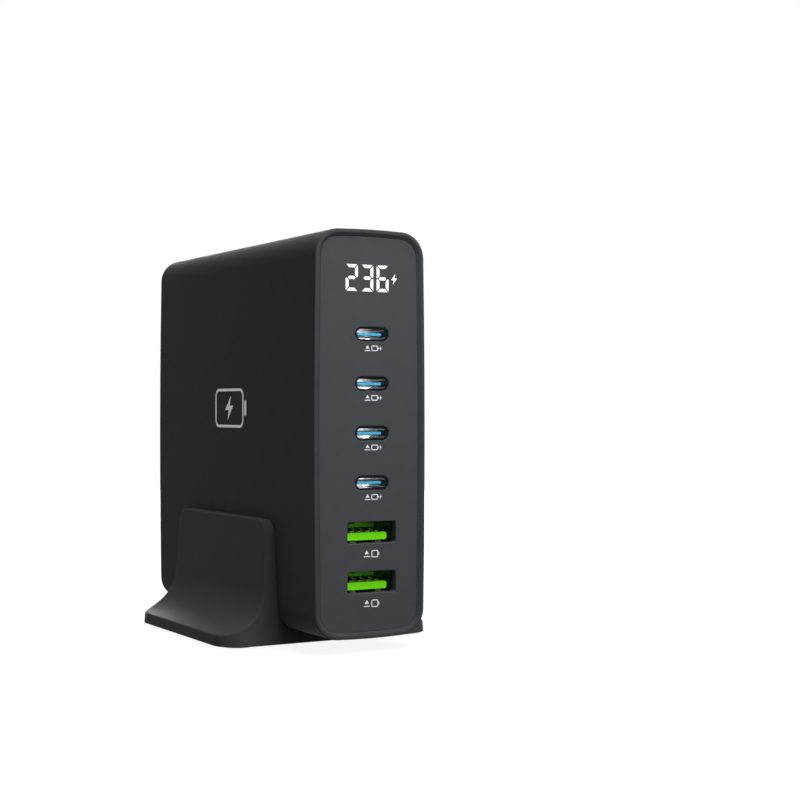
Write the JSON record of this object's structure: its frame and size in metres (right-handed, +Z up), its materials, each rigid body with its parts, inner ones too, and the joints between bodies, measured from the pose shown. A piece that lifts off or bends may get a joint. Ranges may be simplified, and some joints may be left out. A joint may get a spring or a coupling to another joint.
{
  "type": "desktop charger",
  "caption": "Upright slab-shaped mains charger with a column of USB sockets under a small numeric display, resting in a flared cradle stand.",
  "frame": {"origin": "on the table, under the middle of the charger and its stand", "axes": "+Z up, the ports face -Y, +X to the right seen from the front"},
  "size_m": [0.06, 0.101, 0.1034],
  "materials": {
    "case_plastic": "fine matt moulded texture, near black",
    "panel_plastic": "satin, near black",
    "stand_plastic": "fine matt moulded texture, near black",
    "rubber": "matt",
    "socket_steel": "bright nickel plate",
    "tongue_blue": "smooth moulded, bright blue",
    "tongue_green": "smooth moulded, bright green",
    "contact_gold": "plated",
    "inlet_plastic": "moulded, black",
    "pin_metal": "bright nickel plate",
    "circuit_board": "green solder mask",
    "module_plastic": "moulded, black",
    "varistor_coat": "dipped epoxy, blue",
    "capacitor_box": "moulded, yellow",
    "ferrite": "sintered, dark grey",
    "copper": "enamelled copper wire",
    "winding_tape": "polyester tape, yellow",
    "capacitor_can": "drawn can",
    "aluminium": "mill finish",
    "film": "black polyester film"
  },
  "bodies": {
    "root": {"boost_bobbin": "module_plastic", "boost_core": "ferrite", "boost_winding": "copper", "bridge_rectifier": "module_plastic", "buck_inductor_1": "ferrite", "buck_inductor_2": "ferrite", "buck_inductor_3": "ferrite", "buck_inductor_4": "ferrite", "bulk_capacitor_1": "capacitor_can", "bulk_capacitor_2": "capacitor_can", "choke_core": "ferrite", "choke_windings": "copper", "display_module": "module_plastic", "foot_pad_1": "rubber", "foot_pad_2": "rubber", "foot_pad_3": "rubber", "foot_pad_4": "rubber", "front_panel": "panel_plastic", "fuse": "module_plastic", "heat_sink": "aluminium", "heat_spreader": "aluminium", "housing": "case_plastic", "inlet_pin_1": "pin_metal", "inlet_pin_2": "pin_metal", "insulation_sheet": "film", "main_board": "circuit_board", "mains_inlet": "inlet_plastic", "output_capacitor_1": "capacitor_can", "output_capacitor_2": "capacitor_can", "output_capacitor_3": "capacitor_can", "output_capacitor_4": "capacitor_can", "port_board": "circuit_board", "power_switch_1": "module_plastic", "power_switch_2": "module_plastic", "stand": "stand_plastic", "transformer_bobbin": "module_plastic", "transformer_core": "ferrite", "transformer_winding": "winding_tape", "usb_a_contacts_1": "contact_gold", "usb_a_contacts_2": "contact_gold", "usb_a_shell_1": "socket_steel", "usb_a_shell_2": "socket_steel", "usb_a_tongue_1": "tongue_green", "usb_a_tongue_2": "tongue_green", "usb_c_shell_1": "socket_steel", "usb_c_shell_2": "socket_steel", "usb_c_shell_3": "socket_steel", "usb_c_shell_4": "socket_steel", "usb_c_tongue_1": "tongue_blue", "usb_c_tongue_2": "tongue_blue", "usb_c_tongue_3": "tongue_blue", "usb_c_tongue_4": "tongue_blue", "varistor": "varistor_coat", "x_capacitor_1": "capacitor_box", "x_capacitor_2": "capacitor_box"}
  },
  "joints": []
}
